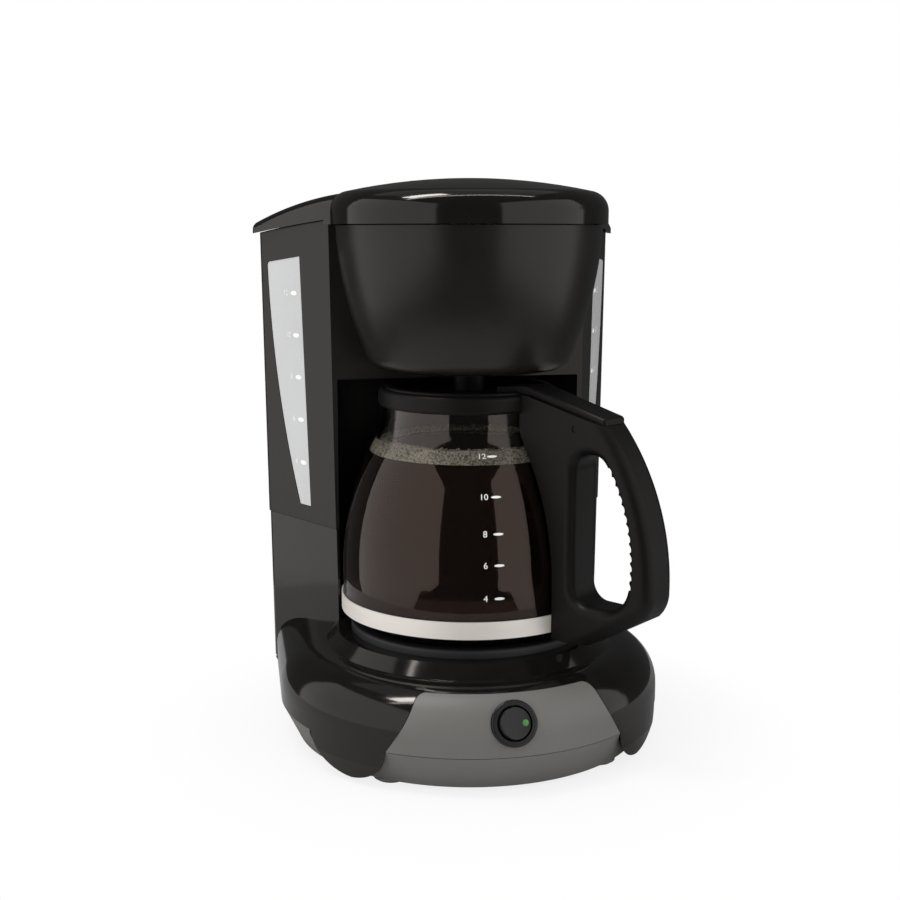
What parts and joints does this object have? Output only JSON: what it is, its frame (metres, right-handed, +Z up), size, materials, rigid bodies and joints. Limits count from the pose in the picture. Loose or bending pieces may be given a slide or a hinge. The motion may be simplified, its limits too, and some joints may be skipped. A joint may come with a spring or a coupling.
{
  "type": "drip coffee maker",
  "caption": "Drip coffee maker with a tower water tank, a hinged lid over a round brew head with a filter basket, a warming plate, a rocker switch and a glass carafe.",
  "frame": {"origin": "centre of the overall box at the level of the rubber feet's undersides", "axes": "+Z up, the switch and carafe face -Y, +X to the right seen from the front"},
  "size_m": [0.2292, 0.2401, 0.319],
  "materials": {
    "gloss_black": "polished black moulding",
    "grey_plastic": "fine matte grey moulding",
    "satin_black": "satin black moulding",
    "black_rubber": "matte",
    "pale_silicone": "satin",
    "plain_steel": "zinc plated",
    "bright_steel": "bright rolled strip",
    "coated_plate": "dark non-stick coat",
    "cast_aluminium": "as drawn",
    "control_parts": "moulded resin",
    "clear_window": "clear moulded sheet",
    "smoke_tank": "translucent grey moulding",
    "green_lens": "lit green lens",
    "pale_plastic": "natural food-grade moulding",
    "clear_glass": "blown clear"
  },
  "bodies": {
    "machine": {"lower_housing": "gloss_black", "upper_housing": "gloss_black", "base_pan": "grey_plastic", "control_panel": "grey_plastic", "switch_barrel": "satin_black", "filter_basket": "satin_black", "rubber_feet": "black_rubber", "cord_grommet": "black_rubber", "plate_seal": "pale_silicone", "inlet_pipe": "pale_silicone", "outlet_pipe": "pale_silicone", "base_screws": "plain_steel", "lid_hinge_pins": "plain_steel", "plate_stud": "plain_steel", "heater_bracket": "plain_steel", "valve_spring": "plain_steel", "warming_plate": "coated_plate", "heating_element": "cast_aluminium", "thermostat": "control_parts", "thermal_fuse": "control_parts", "water_window_left": "clear_window", "water_window_right": "clear_window", "water_tank": "smoke_tank", "riser_tube": "pale_plastic", "spray_arm": "pale_plastic", "valve_cage": "pale_plastic"},
    "lid_body": {"lid": "gloss_black"},
    "rocker_body": {"rocker": "satin_black", "power_lens": "green_lens"},
    "carafe_body": {"carafe_glass": "clear_glass", "carafe_band": "bright_steel", "carafe_collar": "satin_black", "carafe_handle": "satin_black", "handle_screw": "plain_steel", "carafe_lid": "satin_black", "lever_pin": "plain_steel"},
    "valve_body": {"drip_valve": "pale_plastic", "valve_seal": "black_rubber"}
  },
  "joints": [
    {"name": "lid_hinge", "type": "hinge", "parent": "machine", "child": "lid_body", "pos_m": [0, 0.11672, 0.3], "axis": [-1, 0, 0], "range_deg": [0, 100]},
    {"name": "rocker_tip", "type": "hinge", "parent": "machine", "child": "rocker_body", "pos_m": [0, -0.10841, 0.03883], "axis": [0, -0.3625, -0.932], "range_deg": [0, 18]},
    {"name": "carafe_slide", "type": "slide", "parent": "machine", "child": "carafe_body", "axis": [0, -1, 0], "range_m": [0, 0.22]},
    {"name": "valve_drop", "type": "slide", "parent": "machine", "child": "valve_body", "axis": [0, 0, -1], "range_m": [0, 0.0035], "deforming": ["valve_spring"]}
  ],
  "couplings": [
    {"joint": "valve_drop", "follows": "carafe_slide", "ratio": 0.0159}
  ]
}
